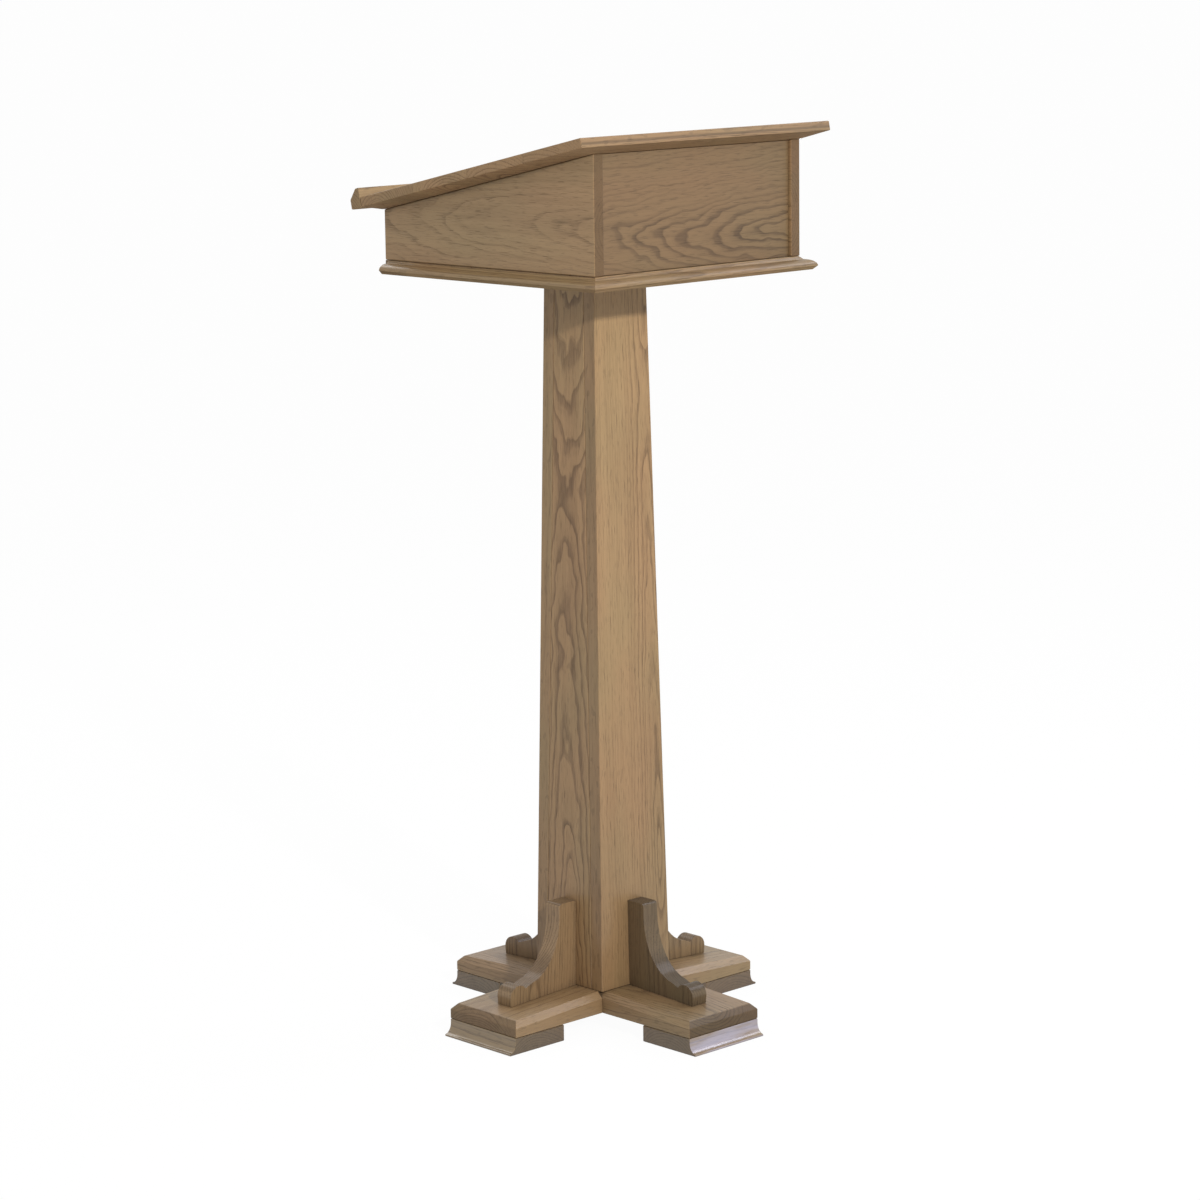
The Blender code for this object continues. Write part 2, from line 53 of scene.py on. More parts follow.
# Photograph's camera: a long lens held a little above the desk, seen from the front left
PHOTO_SIDE = 1200
FOCAL_PX = 3614.0
CENTRE_PX = (510.0, 580.0)
CAMERA_AZIMUTH = math.radians(-43.8453)
CAMERA_DISTANCE = 4.7473
CAMERA_HEIGHT = 1.4512
CAMERA_PITCH = math.radians(10.2053)
CAMERA_YAW = math.radians(-1.4262)
CAMERA_ROLL = math.radians(-0.9555)
CAMERA_REACH = 500.0
SENSOR_MM = 36.0


def make_camera():
    """The camera turns about the floor's origin, then swings, tips and rolls on its own axes."""
    data = bpy.data.cameras.new("photo_camera")
    data.sensor_width = SENSOR_MM
    data.lens = FOCAL_PX / PHOTO_SIDE * SENSOR_MM
    data.shift_x = 0.5 - CENTRE_PX[0] / PHOTO_SIDE
    data.shift_y = CENTRE_PX[1] / PHOTO_SIDE - 0.5
    data.clip_end = CAMERA_REACH
    made = bpy.data.objects.new("photo_camera", data)
    scene.collection.objects.link(made)
    around = Matrix.Rotation(CAMERA_AZIMUTH - CAMERA_YAW, 4, "Z")
    tip = Matrix.Rotation(math.pi / 2 - CAMERA_PITCH, 4, "X")
    roll = Matrix.Rotation(CAMERA_ROLL, 4, "Z")
    made.matrix_world = around @ tip @ roll
    made.location = (
        math.sin(CAMERA_AZIMUTH) * CAMERA_DISTANCE,
        -math.cos(CAMERA_AZIMUTH) * CAMERA_DISTANCE,
        CAMERA_HEIGHT,
    )
    scene.camera = made


make_camera()


# Node helpers
def add_node(tree, kind, inputs=None, **settings):
    """A node with its settings. An input is a value, or a socket to link from."""
    made = tree.nodes.new(kind)
    for key, value in settings.items():
        setattr(made, key, value)
    for key, value in (inputs or {}).items():
        if isinstance(value, bpy.types.NodeSocket):
            tree.links.new(value, made.inputs[key])
        else:
            made.inputs[key].default_value = value
    return made


def calc(tree, operation, *values):
    """A math node's result."""
    return add_node(tree, "ShaderNodeMath", dict(enumerate(values)), operation=operation).outputs[0]


def vector_calc(tree, operation, *values):
    """A vector math node's result, where that is a vector."""
    return add_node(tree, "ShaderNodeVectorMath", dict(enumerate(values)), operation=operation).outputs[0]


def scale(tree, vector, factor):
    """A vector or colour times a number."""
    inputs = {"Vector": vector, "Scale": factor}
    return add_node(tree, "ShaderNodeVectorMath", inputs, operation="SCALE").outputs[0]


def dot(tree, first, second):
    """The cosine between two directions."""
    inputs = {0: first, 1: second}
    return add_node(tree, "ShaderNodeVectorMath", inputs, operation="DOT_PRODUCT").outputs["Value"]


def facing(tree, normal, way):
    """1 where a surface faces along a way or against it, 0 where it runs with it."""
    return calc(tree, "ABSOLUTE", dot(tree, normal, way))


def height_of(tree, vector):
    """A vector's Z."""
    return add_node(tree, "ShaderNodeSeparateXYZ", {0: vector}).outputs["Z"]


def centred(tree, value, gain):
    """A value that runs from 0 to 1, moved to run about 0, times a gain."""
    return calc(tree, "MULTIPLY_ADD", value, gain, -0.5 * gain)


def noise(tree, place, stretch, detail=2.0, roughness=0.5):
    """Noise whose cells are stretched: stretch is in cells a metre along X, Y and Z."""
    scaled = vector_calc(tree, "MULTIPLY", place, stretch)
    inputs = {"Vector": scaled, "Scale": 1.0, "Detail": detail, "Roughness": roughness}
    return add_node(tree, "ShaderNodeTexNoise", inputs).outputs


def chance(tree, number):
    """A random value and colour that belong to a whole number."""
    return add_node(tree, "ShaderNodeTexWhiteNoise", {"W": number}, noise_dimensions="1D").outputs


def step(tree, value, low, high):
    """A smooth step from 0 at low to 1 at high."""
    inputs = {"Value": value, "From Min": low, "From Max": high}
    return add_node(tree, "ShaderNodeMapRange", inputs, interpolation_type="SMOOTHSTEP").outputs[0]


def ramp(tree, factor, stops):
    """A smooth value ramp through (position, value) stops."""
    made = add_node(tree, "ShaderNodeValToRGB", {"Fac": factor})
    made.color_ramp.interpolation = "EASE"
    points = made.color_ramp.elements
    while len(points) < len(stops):
        points.new(0.5)
    for point, (position, value) in zip(points, stops):
        point.position = position
        point.color = (value, value, value, 1.0)
    return made.outputs["Color"]


def mix_colour(tree, factor, first, second, blend="MIX"):
    """Two colours mixed. The mix node's colour sockets are its inputs 6 and 7 and its output 2."""
    inputs = {0: factor, 6: first, 7: second}
    return add_node(tree, "ShaderNodeMix", inputs, data_type="RGBA", blend_type=blend).outputs[2]


def tinted(tree, colour, tint):
    """A colour times a tint, channel by channel."""
    return mix_colour(tree, 1.0, colour, tint, "MULTIPLY")


def open_group(name, takes, gives):
    """A node group with its sockets. Returns the tree, what it is given and a call that sets a result."""
    kinds = {"vector": "NodeSocketVector", "value": "NodeSocketFloat", "colour": "NodeSocketColor"}
    tree = bpy.data.node_groups.new(name, "ShaderNodeTree")
    for way, sockets in (("INPUT", takes), ("OUTPUT", gives)):
        for label, kind in sockets:
            tree.interface.new_socket(label, in_out=way, socket_type=kinds[kind])
    given = tree.nodes.new("NodeGroupInput").outputs
    result = tree.nodes.new("NodeGroupOutput").inputs
    return tree, given, lambda label, socket: tree.links.new(socket, result[label])


def open_material(name):
    """A new material with its node tree and its shader."""
    made = bpy.data.materials.new(name)
    made.use_nodes = True
    return made, made.node_tree, made.node_tree.nodes["Principled BSDF"]


# Oak's grain, in cells a metre along the board, across it and through it
SLOW_BENDS = (2.2, 5.0, 5.0)
QUICK_BENDS = (16.0, 34.0, 34.0)
STREAKS = (2.4, 90.0, 90.0)
FIBRES = (13.0, 780.0, 780.0)
PORES = (40.0, 1250.0, 1250.0)
RAYS = (70.0, 700.0, 160.0)
PATCHES = (2.6, 11.0, 11.0)
HUES = (3.4, 9.0, 9.0)
HUES_AWAY = (7.0, 3.0, 1.0)

# Where each mark of the grain starts and is whole, in its noise from 0 to 1
PORE_LIMITS = (0.63, 0.72)
RAY_LIMITS = (0.67, 0.75)
HUE_LIMITS = (0.34, 0.66)
MORE_EARLY_PORES = 0.15

# Growth rings: how far the pith wanders in metres, how blunt the arches are, how the years differ,
# the early wood through one year, and how the rings fade beside the figure, in shares of its spread
PITH_WANDER = 0.034
ARCH_BLUNTNESS = 0.0012
RINGS_UNEVEN = 2.2
SWELLS_A_YEAR = 0.3
EARLY_WOOD = ((0.0, 0.5), (0.05, 1.0), (0.2, 0.78), (0.42, 0.2), (0.8, 0.0), (0.96, 0.04), (1.0, 0.5))
FAINTEST_YEAR = 0.5
YEARS_DIFFER = 0.6
FADE_ASIDE = 0.6
FADE_LIMITS = (0.5, 1.5)

# How strongly each mark of the grain tells in the colour
STREAK_GAIN = 0.85
PATCH_GAIN = 0.75
FIBRE_GAIN = 0.26
PORE_GAIN = 0.55
RAY_GAIN = 0.28
PORE_SHADE = 0.62
COOL_TINT = (0.975, 1.0, 0.965, 1.0)
WARM_TINT = (1.05, 0.985, 0.96, 1.0)
SOAKED_TINT = (0.13, 0.085, 0.02, 1.0)

# Roughness of plain oak, and what streaks, pores and end grain add to it
PLAIN_ROUGHNESS = 0.38
STREAK_ROUGHNESS = 0.18
PORE_ROUGHNESS = 0.16
END_ROUGHNESS = 0.18

# Relief, in shares of the bump's height
PORE_RELIEF = -0.9
EARLY_RELIEF = -0.3
FIBRE_RELIEF = 0.3


def early_wood(tree, given, place):
    """How much early wood there is, in rings round a pith that leans, so that faces show arches."""
    slow = noise(tree, place, SLOW_BENDS, detail=1.0)["Color"]
    half = PITH_WANDER / 2
    wander = vector_calc(tree, "MULTIPLY_ADD", slow, (0.0, PITH_WANDER, PITH_WANDER), (0.0, -half, -half))
    quick = noise(tree, place, QUICK_BENDS, detail=2.0, roughness=0.45)["Color"]
    waver = vector_calc(tree, "MULTIPLY_ADD", quick, (0.0, 1.0, 1.0), (0.0, -0.5, -0.5))
    moved = vector_calc(tree, "ADD", given["Place"], wander)
    moved = vector_calc(tree, "ADD", moved, scale(tree, waver, given["Waver"]))
    axes = add_node(tree, "ShaderNodeSeparateXYZ", {0: moved}).outputs
    run = calc(tree, "SQRT", calc(tree, "MULTIPLY_ADD", axes["X"], axes["X"], ARCH_BLUNTNESS))
    depth = calc(tree, "MULTIPLY_ADD", run, given["Lean"], axes["Z"])
    across = calc(tree, "MULTIPLY", axes["Y"], axes["Y"])
    radius = calc(tree, "SQRT", calc(tree, "MULTIPLY_ADD", depth, depth, across))
    count = calc(tree, "DIVIDE", radius, given["Ring"])
    swell = {"W": count, "Scale": SWELLS_A_YEAR, "Detail": 1.0}
    uneven = add_node(tree, "ShaderNodeTexNoise", swell, noise_dimensions="1D").outputs["Fac"]
    count = calc(tree, "MULTIPLY_ADD", uneven, RINGS_UNEVEN, count)
    year = chance(tree, calc(tree, "FLOOR", count))["Value"]
    early = ramp(tree, calc(tree, "FRACT", count), EARLY_WOOD)
    early = calc(tree, "MULTIPLY", early, calc(tree, "MULTIPLY_ADD", year, YEARS_DIFFER, FAINTEST_YEAR))
    aside = calc(tree, "DIVIDE", calc(tree, "ABSOLUTE", axes["Y"]), given["Spread"])
    fade = calc(tree, "MULTIPLY_ADD", step(tree, aside, *FADE_LIMITS), -FADE_ASIDE, 1.0)
    return calc(tree, "MULTIPLY", early, fade)


def oak_group():
    """Oak as a solid texture in a board's own frame, with the grain and the pith along X."""
    tree, given, give = open_group(
        "oak",
        [("Place", "vector"), ("End", "value"), ("Seed", "value"), ("Lean", "value"), ("Ring", "value"),
         ("Figure", "value"), ("Spread", "value"), ("Waver", "value"), ("Drink", "value"),
         ("Light", "colour"), ("Dark", "colour")],
        [("Colour", "colour"), ("Roughness", "value"), ("Height", "value")],
    )
    away = add_node(tree, "ShaderNodeCombineXYZ", {"X": given["Seed"]}).outputs[0]
    place = vector_calc(tree, "ADD", given["Place"], away)
    early = early_wood(tree, given, place)

    # Streaks along the grain, open pores in the early wood, short ray lines and slow changes of tone
    streak = noise(tree, place, STREAKS, detail=3.0, roughness=0.62)["Fac"]
    fibre = noise(tree, place, FIBRES)["Fac"]
    pore_field = noise(tree, place, PORES, detail=1.0)["Fac"]
    pores = step(tree, calc(tree, "MULTIPLY_ADD", early, MORE_EARLY_PORES, pore_field), *PORE_LIMITS)
    rays = step(tree, noise(tree, place, RAYS, detail=0.0)["Fac"], *RAY_LIMITS)
    patch = noise(tree, place, PATCHES)["Fac"]
    hue = noise(tree, vector_calc(tree, "ADD", place, HUES_AWAY), HUES)["Fac"]

    shade = calc(tree, "MULTIPLY_ADD", early, given["Figure"], centred(tree, streak, STREAK_GAIN))
    shade = calc(tree, "ADD", shade, centred(tree, patch, PATCH_GAIN))
    shade = add_node(tree, "ShaderNodeClamp", {"Value": shade}).outputs[0]
    colour = mix_colour(tree, shade, given["Light"], given["Dark"])
    tint = mix_colour(tree, step(tree, hue, *HUE_LIMITS), COOL_TINT, WARM_TINT)
    colour = tinted(tree, colour, tint)
    pore_marks = calc(tree, "MULTIPLY", pores, PORE_GAIN)
    marks = calc(tree, "MAXIMUM", pore_marks, calc(tree, "MULTIPLY", rays, RAY_GAIN))
    colour = mix_colour(tree, marks, colour, scale(tree, given["Dark"], PORE_SHADE))
    colour = scale(tree, colour, calc(tree, "ADD", centred(tree, fibre, FIBRE_GAIN), 1.0))

    # End grain drinks the finish: darker, browner and rougher
    soaked = tinted(tree, colour, SOAKED_TINT)
    colour = mix_colour(tree, calc(tree, "MULTIPLY", given["End"], given["Drink"]), colour, soaked)
    rough = calc(tree, "MULTIPLY_ADD", streak, STREAK_ROUGHNESS, PLAIN_ROUGHNESS)
    rough = calc(tree, "MULTIPLY_ADD", pores, PORE_ROUGHNESS, rough)
    rough = calc(tree, "MULTIPLY_ADD", given["End"], END_ROUGHNESS, rough)
    height = calc(tree, "MULTIPLY_ADD", pores, PORE_RELIEF, calc(tree, "MULTIPLY", fibre, FIBRE_RELIEF))
    give("Colour", colour)
    give("Roughness", rough)
    give("Height", calc(tree, "MULTIPLY_ADD", early, EARLY_RELIEF, height))
    return tree


# Wear, grime and painted shade: sizes in metres, noise in cells a metre, and the limits between which each
# kind sets in
ARRIS_RADIUS = 0.0018
CORNER_REACH = 0.022
RUB_BREAKS = (60.0, 60.0, 60.0)
GRIME_AND_SHADE_CLOUDS = (18.0, 18.0, 18.0)
RUBBED_TINT = (1.42, 1.36, 1.30, 1.0)
# Grime and painted shade: this tint darkens the hollows and the gaps between parts
GRIME_AND_SHADE_TINT = (0.42, 0.40, 0.40, 1.0)
FLOOR_SHADE = 0.71
# Painted shade: below this height the colour darkens towards FLOOR_SHADE at the floor
SHADE_FADE_HEIGHT = 1.0
ARRIS_LIMITS = (0.015, 0.14)
BREAK_LIMITS = (0.36, 0.62)
HOLLOW_LIMITS = (0.18, 0.85)
LEAST_GRIME_AND_SHADE = 0.35
CLOUDED_GRIME_AND_SHADE = 0.9
GRIME_ROUGHNESS = 0.2
RUBBED_ROUGHNESS = -0.06


def age_and_shade_group():
    """Rubbed arrises from use, grime with painted shade in the corners, and painted shade darker towards
    the floor.
    """
    tree, given, give = open_group(
        "age_and_shade",
        [("Colour", "colour"), ("Roughness", "value"), ("Rub", "value"), ("Grime and shade", "value")],
        [("Colour", "colour"), ("Roughness", "value")],
    )
    where = add_node(tree, "ShaderNodeTexCoord").outputs["Object"]

    # A rounded normal differs from the plain one only near an arris
    rounded = add_node(tree, "ShaderNodeBevel", {"Radius": ARRIS_RADIUS}, samples=4).outputs["Normal"]
    plain = add_node(tree, "ShaderNodeNewGeometry").outputs["Normal"]
    arris = step(tree, calc(tree, "SUBTRACT", 1.0, dot(tree, rounded, plain)), *ARRIS_LIMITS)
    breaks = noise(tree, where, RUB_BREAKS, detail=3.0, roughness=0.6)["Fac"]
    rubbed = calc(tree, "MULTIPLY", arris, step(tree, breaks, *BREAK_LIMITS))
    rubbed = calc(tree, "MULTIPLY", rubbed, given["Rub"])
    colour = mix_colour(tree, rubbed, given["Colour"], tinted(tree, given["Colour"], RUBBED_TINT))

    # Grime and painted shade darken the hollows, in clouds
    reach = {"Distance": CORNER_REACH}
    hollow = add_node(tree, "ShaderNodeAmbientOcclusion", reach, samples=6).outputs["AO"]
    shut = step(tree, calc(tree, "SUBTRACT", 1.0, hollow), *HOLLOW_LIMITS)
    cloud = noise(tree, where, GRIME_AND_SHADE_CLOUDS)["Fac"]
    grime_and_shade_mask = calc(tree, "MULTIPLY", shut, calc(tree, "MULTIPLY_ADD", cloud, CLOUDED_GRIME_AND_SHADE, LEAST_GRIME_AND_SHADE))
    grime_and_shade_mask = calc(tree, "MULTIPLY", grime_and_shade_mask, given["Grime and shade"])
    colour = mix_colour(tree, grime_and_shade_mask, colour, tinted(tree, given["Colour"], GRIME_AND_SHADE_TINT))

    # Painted shade: the colour darkens evenly towards the floor
    floor_shade_range = {
        "Value": height_of(tree, where), "From Min": 0.0, "From Max": SHADE_FADE_HEIGHT,
        "To Min": FLOOR_SHADE, "To Max": 1.0,
    }
    give("Colour", scale(tree, colour, add_node(tree, "ShaderNodeMapRange", floor_shade_range).outputs[0]))
    rough = calc(tree, "MULTIPLY_ADD", grime_and_shade_mask, GRIME_ROUGHNESS, given["Roughness"])
    give("Roughness", calc(tree, "MULTIPLY_ADD", rubbed, RUBBED_ROUGHNESS, rough))
    return tree


# Staves: how far their hearts lie apart in metres, how much their tones differ, and the glue line
STAVE_WIDTH = 0.105
HEARTS_ALONG = 0.5
HEARTS_ACROSS = 0.07
HEARTS_THROUGH = 0.03
STAVE_TONES = 0.17
GLUE_LINE = (0.00015, 0.00055)
GLUE_DARKNESS = 0.38


def stave_group():
    """Boards glued edge to edge: each stave has its own heart and tone, with a thin glue line between."""
    tree, given, give = open_group(
        "staves",
        [("Place", "vector"), ("Width", "value"), ("Seed", "value")],
        [("Place", "vector"), ("Tone", "value")],
    )
    axes = add_node(tree, "ShaderNodeSeparateXYZ", {0: given["Place"]}).outputs
    count = calc(tree, "DIVIDE", axes["Y"], given["Width"])
    number = calc(tree, "FLOOR", count)
    share = calc(tree, "SUBTRACT", count, number)
    own = chance(tree, calc(tree, "ADD", number, given["Seed"]))
    parts = add_node(tree, "ShaderNodeSeparateColor", {0: own["Color"]}).outputs
    across = calc(tree, "MULTIPLY", calc(tree, "SUBTRACT", share, 0.5), given["Width"])
    across = calc(tree, "ADD", across, centred(tree, parts[0], HEARTS_ACROSS))
    along = calc(tree, "ADD", axes["X"], centred(tree, parts[1], HEARTS_ALONG))
    through = calc(tree, "ADD", axes["Z"], centred(tree, parts[2], HEARTS_THROUGH))
    placed = add_node(tree, "ShaderNodeCombineXYZ", {0: along, 1: across, 2: through}).outputs[0]
    nearest = calc(tree, "MINIMUM", share, calc(tree, "SUBTRACT", 1.0, share))
    edge = calc(tree, "MULTIPLY", nearest, given["Width"])
    line = calc(tree, "SUBTRACT", 1.0, step(tree, edge, *GLUE_LINE))
    tone = calc(tree, "ADD", centred(tree, own["Value"], STAVE_TONES), 1.0)
    give("Place", placed)
    give("Tone", calc(tree, "MULTIPLY_ADD", line, -GLUE_DARKNESS, tone))
    return tree


OAK = oak_group()
AGE_AND_SHADE = age_and_shade_group()
STAVES = stave_group()

# Boards: colours of the wood and of a painted reflection, the bump in metres, and the finish
LIGHT_OAK = Vector((0.380, 0.250, 0.126))
DARK_OAK = Vector((0.185, 0.112, 0.053))
LIGHT_PINE = Vector((0.520, 0.370, 0.200))
DARK_PINE = Vector((0.380, 0.230, 0.100))
# Painted reflection: a pale lavender laid on the front pad's outer end
PAINTED_REFLECTION = (0.69, 0.69, 0.92, 1.0)
REFLECTION_PATCHES = (9.0, 60.0, 60.0)
REFLECTION_LIMITS = (0.25, 0.6)
BUMP_HEIGHT = 0.00008
BUMP_STRENGTH = 0.6
BARE_ROUGHNESS = 0.42
SPECULAR_LEVEL = 0.4
COAT_ROUGHNESS = 0.18

# A surface turns into end grain, flank, outer side or varnished side between these cosines
END_LIMITS = (0.38, 0.68)
FLANK_LIMITS = (0.45, 0.85)
OUTWARD_LIMITS = (0.3, 0.7)
VARNISH_LIMITS = (-0.75, -0.35)


def board_place(tree, where, heart, along, across):
    """A place in a board's own frame: along the grain, across it and through it from its heart."""
    turn = Matrix((along, across, along.cross(across)))
    inputs = {"Vector": where, "Location": -(turn @ Vector(heart)), "Rotation": turn.to_euler()}
    return add_node(tree, "ShaderNodeMapping", inputs).outputs["Vector"]


def scuffed(tree, colour, amount, place, outward):
    """A painted reflection, pale lavender in patches, on the side that looks outward."""
    patches = noise(tree, place, REFLECTION_PATCHES, detail=3.0, roughness=0.6)["Fac"]
    outer = step(tree, outward, *OUTWARD_LIMITS)
    reflected = calc(tree, "MULTIPLY", outer, step(tree, patches, *REFLECTION_LIMITS))
    return mix_colour(tree, calc(tree, "MULTIPLY", reflected, amount), colour, PAINTED_REFLECTION)


def varnish(tree, shader, normal, rough, gloss):
    """Varnish on all but the undersides, which were left bare and rough."""
    varnished = step(tree, height_of(tree, normal), *VARNISH_LIMITS)
    bare = calc(tree, "ADD", rough, BARE_ROUGHNESS)
    rough = calc(tree, "MULTIPLY_ADD", varnished, -BARE_ROUGHNESS, bare)
    tree.links.new(rough, shader.inputs["Roughness"])
    if gloss:
        tree.links.new(calc(tree, "MULTIPLY", varnished, gloss), shader.inputs["Coat Weight"])
    shader.inputs["Specular IOR Level"].default_value = SPECULAR_LEVEL
    shader.inputs["Coat Roughness"].default_value = COAT_ROUGHNESS


def wood(
    name, heart, along, across, tone=1.0, warm=0.0, lean=0.03, ring=0.0042, figure=0.7, spread=0.05,
    waver=0.004, drink=0.45, flank=0.0, scuff=0.0, seed=0.0, stave=0.0, rub=0.5, grime=0.7, gloss=0.2,
    pale=LIGHT_OAK, deep=DARK_OAK,
):
    """Wood for one board, whose pith passes through heart. The arches of its figure meet at heart too.

    tone and warm shift the colours pale and deep. lean tips the pith, ring is a year's width in metres,
    figure and spread are the rings' strength and reach, and waver bends them. drink darkens the end grain,
    and flank the long edges. stave is the width of boards glued together, or 0, and seed sets the draw.
    rub is wear, grime is grime with painted shade in hollows, reflection a painted reflection, gloss the
    varnish.
    """
    made, tree, shader = open_material(name)
    coordinates = add_node(tree, "ShaderNodeTexCoord").outputs
    normal = coordinates["Normal"]
    place = board_place(tree, coordinates["Object"], heart, along, across)
    if stave:
        inputs = {"Place": place, "Width": stave, "Seed": seed}
        staves = add_node(tree, "ShaderNodeGroup", inputs, node_tree=STAVES).outputs
        place = staves["Place"]
    tint = Vector((1.0 + warm, 1.0, 1.0 - warm)) * tone
    inputs = {
        "Place": place, "End": step(tree, facing(tree, normal, along), *END_LIMITS), "Seed": seed,
        "Lean": lean, "Ring": ring, "Figure": figure, "Spread": spread, "Waver": waver, "Drink": drink,
        "Light": (*(pale * tint), 1.0), "Dark": (*(deep * tint), 1.0),
    }
    figured = add_node(tree, "ShaderNodeGroup", inputs, node_tree=OAK).outputs
    colour = figured["Colour"]
    if stave:
        colour = scale(tree, colour, staves["Tone"])
    if flank:
        edge = step(tree, facing(tree, normal, across), *FLANK_LIMITS)
        colour = scale(tree, colour, calc(tree, "MULTIPLY_ADD", edge, -flank, 1.0))
    if scuff:
        colour = scuffed(tree, colour, scuff, place, dot(tree, normal, across))
    inputs = {"Colour": colour, "Roughness": figured["Roughness"], "Rub": rub, "Grime and shade": grime}
    aged_and_shaded = add_node(tree, "ShaderNodeGroup", inputs, node_tree=AGE_AND_SHADE).outputs
    inputs = {"Height": figured["Height"], "Distance": BUMP_HEIGHT, "Strength": BUMP_STRENGTH}
    bump = add_node(tree, "ShaderNodeBump", inputs).outputs["Normal"]
    tree.links.new(aged_and_shaded["Colour"], shader.inputs["Base Color"])
    tree.links.new(bump, shader.inputs["Normal"])
    varnish(tree, shader, normal, aged_and_shaded["Roughness"], gloss)
    return made


# Screws: colours, noise in cells a metre, and the depth of the marks in metres
BRIGHT_ZINC = (0.60, 0.58, 0.54, 1.0)
DULL_ZINC = (0.40, 0.38, 0.35, 1.0)
ZINC_CLOUDS = (260.0, 260.0, 260.0)
TURNING_MARKS = (120.0, 120.0, 2600.0)
CLOUD_LIMITS = (0.35, 0.7)
ZINC_ROUGHNESS = 0.22
CLOUD_ROUGHNESS = 0.3
MARK_DEPTH = 0.00005
MARK_STRENGTH = 0.5


def steel():
    """Bright zinc on the screws, dulled in clouds, with fine turning marks round the shank."""
    made, tree, shader = open_material("screw_steel")
    where = add_node(tree, "ShaderNodeTexCoord").outputs["Object"]
    cloud = noise(tree, where, ZINC_CLOUDS, detail=3.0)["Fac"]
    marks = noise(tree, where, TURNING_MARKS, detail=1.0)["Fac"]
    colour = mix_colour(tree, step(tree, cloud, *CLOUD_LIMITS), BRIGHT_ZINC, DULL_ZINC)
    inputs = {"Height": marks, "Distance": MARK_DEPTH, "Strength": MARK_STRENGTH}
    bump = add_node(tree, "ShaderNodeBump", inputs).outputs["Normal"]
    tree.links.new(colour, shader.inputs["Base Color"])
    rough = calc(tree, "MULTIPLY_ADD", cloud, CLOUD_ROUGHNESS, ZINC_ROUGHNESS)
    tree.links.new(rough, shader.inputs["Roughness"])
    tree.links.new(bump, shader.inputs["Normal"])
    shader.inputs["Metallic"].default_value = 1.0
    return made


# Pieces with curves or long bevels are welded and shaded smooth, so that they show no facets
SHARP_ANGLE = math.radians(32)
FLAT_ANGLE = math.radians(0.4)
WELD_DISTANCE = 1e-6
CURVED = {f"bracket_{side}": "oak" for side in OUT_WAYS}
CURVED |= {f"pad_{side}": "foot_oak" for side in OUT_WAYS}
CURVED |= {f"moulding_{side}": "oak" for side in ("front", "left", "right")}
CURVED |= {node: "oak" for node in ("book_stop", "slope_board")}


def smooth_copy(node):
    """A welded copy of a CAD node, shaded smooth up to its sharp edges, that shows in its place."""
    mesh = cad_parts[node].data.copy()
    mesh.name = f"{node}_smooth"
    if "custom_normal" in mesh.attributes:
        mesh.attributes.remove(mesh.attributes["custom_normal"])
    form = bmesh.new()
    form.from_mesh(mesh)
    bmesh.ops.remove_doubles(form, verts=form.verts, dist=WELD_DISTANCE)
    bmesh.ops.dissolve_limit(form, angle_limit=FLAT_ANGLE, verts=form.verts, edges=form.edges)
    for face in form.faces:
        face.smooth = True
    for edge in form.edges:
        edge.smooth = edge.calc_face_angle(math.pi) < SHARP_ANGLE
    form.to_mesh(mesh)
    form.free()
    piece = bpy.data.objects.new(f"{node}_smooth", mesh)
    scene.collection.objects.link(piece)
    piece.modifiers.new("face_normals", "WEIGHTED_NORMAL").keep_sharp = True
    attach(piece, "root")
    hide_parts(node)
    return piece


SHOWN = dict(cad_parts)
for curved_node, slot_name in CURVED.items():
    SHOWN[curved_node] = smooth_copy(curved_node)


def dress(node, material):
    """Give the piece that shows for a node its one material."""
    slots = SHOWN[node].data.materials
    slots.clear()
    slots.append(material)


def board(node, along, across, heart, **look):
    """Dress a board. Its heart lies off its middle by metres along the grain, across it and through it."""
    low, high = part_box(node)
    through = along.cross(across)
    at = (low + high) / 2 + along * heart[0] + across * heart[1] + through * heart[2]
    dress(node, wood(f"{node}_wood", at, along, across, **look))


# Post: upright grain. Through points outward in the front and back boards, inward in the other two
board(
    "post_board_front", Z_AXIS, -X_AXIS, (0.16, -0.046, 0.035), seed=3.1,
    lean=0.05, ring=0.005, figure=0.62, spread=0.03, waver=0.007, tone=1.1, warm=0.015, flank=0.2,
)
board(
    "post_board_left", Z_AXIS, -Y_AXIS, (0.19, 0.004, 0.045), seed=5.7,
    lean=0.075, ring=0.0062, figure=0.85, waver=0.013, tone=1.1, warm=0.01,
)
board("post_board_back", Z_AXIS, X_AXIS, (-0.25, 0.01, 0.05), seed=7.3, lean=0.04, waver=0.006, tone=0.97)
board("post_board_right", Z_AXIS, Y_AXIS, (0.3, -0.02, 0.05), seed=9.2, lean=0.035, waver=0.006, tone=0.95)

# Foot: brackets upright in the grain, pads across their arm, arms lengthwise
# The front knee is made about half as light as the other knees
BRACKET_TONES = {"front": 0.5, "back": 0.95, "left": 1.07, "right": 0.95}
# Only the front pad's outer end gets the painted reflection
PAD_REFLECTIONS = {"front": 0.6, "back": 0.0, "left": 0.0, "right": 0.0}
for number, (side, out_way) in enumerate(OUT_WAYS.items()):
    board(
        f"bracket_{side}", Z_AXIS, out_way, (0.3, 0.02, 0.05), seed=11.0 + number,
        tone=BRACKET_TONES[side], warm=-0.04, grime=0.9,
    )
    board(
        f"pad_{side}", Z_AXIS.cross(out_way), out_way, (0.1, 0.0, 0.06), seed=21.0 + number,
        tone=0.98, warm=-0.03, drink=0.55, grime=0.8, gloss=0.9, scuff=PAD_REFLECTIONS[side],
    )
board(
    "arm_side_to_side", X_AXIS, Y_AXIS, (0.05, 0.01, -0.05), seed=31.0,
    tone=1.12, warm=-0.03, drink=0.47, grime=0.9,
)
board(
    "arm_front_to_back", Y_AXIS, X_AXIS, (0.1, -0.02, -0.05), seed=33.0,
    tone=0.98, warm=-0.03, drink=0.68, grime=0.9,
)

